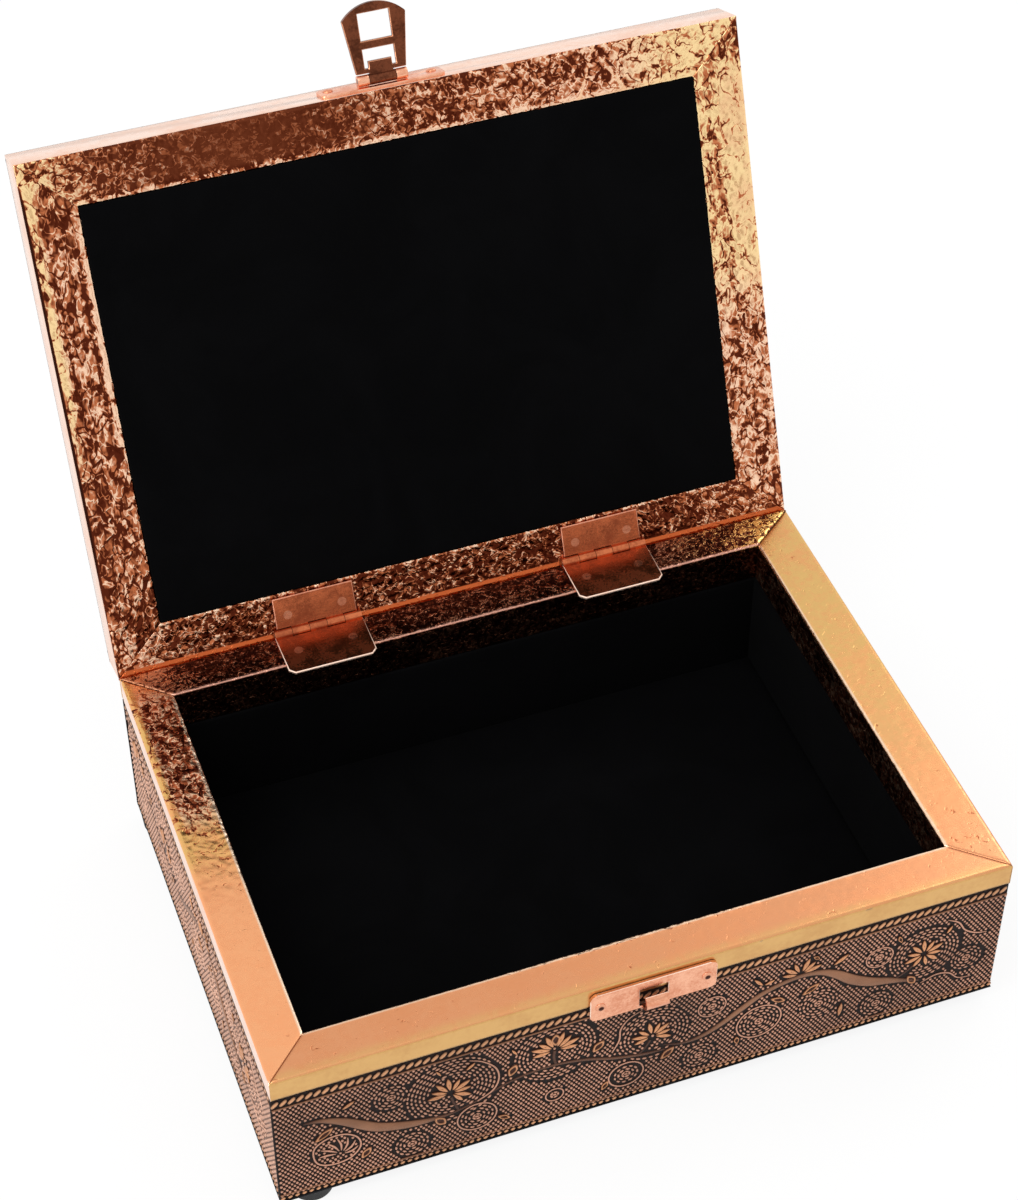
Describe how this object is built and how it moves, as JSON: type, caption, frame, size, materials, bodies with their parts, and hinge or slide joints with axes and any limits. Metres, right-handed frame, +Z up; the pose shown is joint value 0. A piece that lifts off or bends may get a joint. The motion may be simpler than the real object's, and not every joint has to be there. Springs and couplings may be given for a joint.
{
  "type": "hinged keepsake box",
  "caption": "Wooden keepsake box clad in embossed copper sheet and crinkled copper foil, lined with black velvet, with a hinged lid and a swinging hasp.",
  "frame": {"origin": "on the plane of the four soles of the feet, below the middle of the base", "axes": "+X to the right along the width, +Y from the front with the catch to the back with the hinges, +Z up"},
  "size_m": [0.203, 0.2192, 0.2125],
  "materials": {
    "fibreboard": "raw",
    "embossed_copper": "oxidised, rubbed bright on the high parts",
    "plain_copper": "smooth",
    "copper_foil": "crinkled foil",
    "black_velvet": "pile",
    "black_felt": "matt",
    "black_rubber": "matt",
    "copper_nails": "satin",
    "steel_pins": "satin",
    "dark_bronze": "oxidised",
    "copper_plate": "satin"
  },
  "bodies": {
    "base": {"base_front_board": "fibreboard", "base_back_board": "fibreboard", "base_left_board": "fibreboard", "base_right_board": "fibreboard", "base_bottom_board": "fibreboard", "base_front_embossed_sheet": "embossed_copper", "base_back_embossed_sheet": "embossed_copper", "base_left_embossed_sheet": "embossed_copper", "base_right_embossed_sheet": "embossed_copper", "base_front_rim_foil": "copper_foil", "base_back_rim_foil": "copper_foil", "base_left_rim_foil": "copper_foil", "base_right_rim_foil": "copper_foil", "base_front_lining": "black_velvet", "base_back_lining": "black_velvet", "base_left_lining": "black_velvet", "base_right_lining": "black_velvet", "base_floor_pad": "black_velvet", "underside_felt": "black_felt", "feet": "black_rubber", "left_hinge_base_leaf": "copper_plate", "right_hinge_base_leaf": "copper_plate", "left_hinge_pin": "steel_pins", "right_hinge_pin": "steel_pins", "hinge_base_nails": "copper_nails", "catch_plate": "copper_plate", "catch_nails": "copper_nails"},
    "lid": {"lid_board": "fibreboard", "lid_top_embossed_sheet": "embossed_copper", "lid_front_edge_sheet": "plain_copper", "lid_back_edge_sheet": "plain_copper", "lid_left_edge_sheet": "plain_copper", "lid_right_edge_sheet": "plain_copper", "lid_front_frame_foil": "copper_foil", "lid_back_frame_foil": "copper_foil", "lid_left_frame_foil": "copper_foil", "lid_right_frame_foil": "copper_foil", "lid_velvet_panel": "black_velvet", "left_hinge_lid_leaf": "copper_plate", "right_hinge_lid_leaf": "copper_plate", "hinge_lid_nails": "copper_nails", "hasp_mount_plate": "copper_plate", "hasp_nails": "copper_nails", "hasp_pin": "steel_pins"},
    "hasp": {"hasp_loop": "dark_bronze"}
  },
  "joints": [
    {"name": "lid_hinge", "type": "hinge", "parent": "base", "child": "lid", "pos_m": [0, 0.0734, 0.05685], "axis": [1, 0, 0], "range_deg": [0, 112]},
    {"name": "hasp_pivot", "type": "hinge", "parent": "lid", "child": "hasp", "pos_m": [0, 0.13293, 0.19339], "axis": [1, 0, 0], "range_deg": [0, 90]}
  ]
}
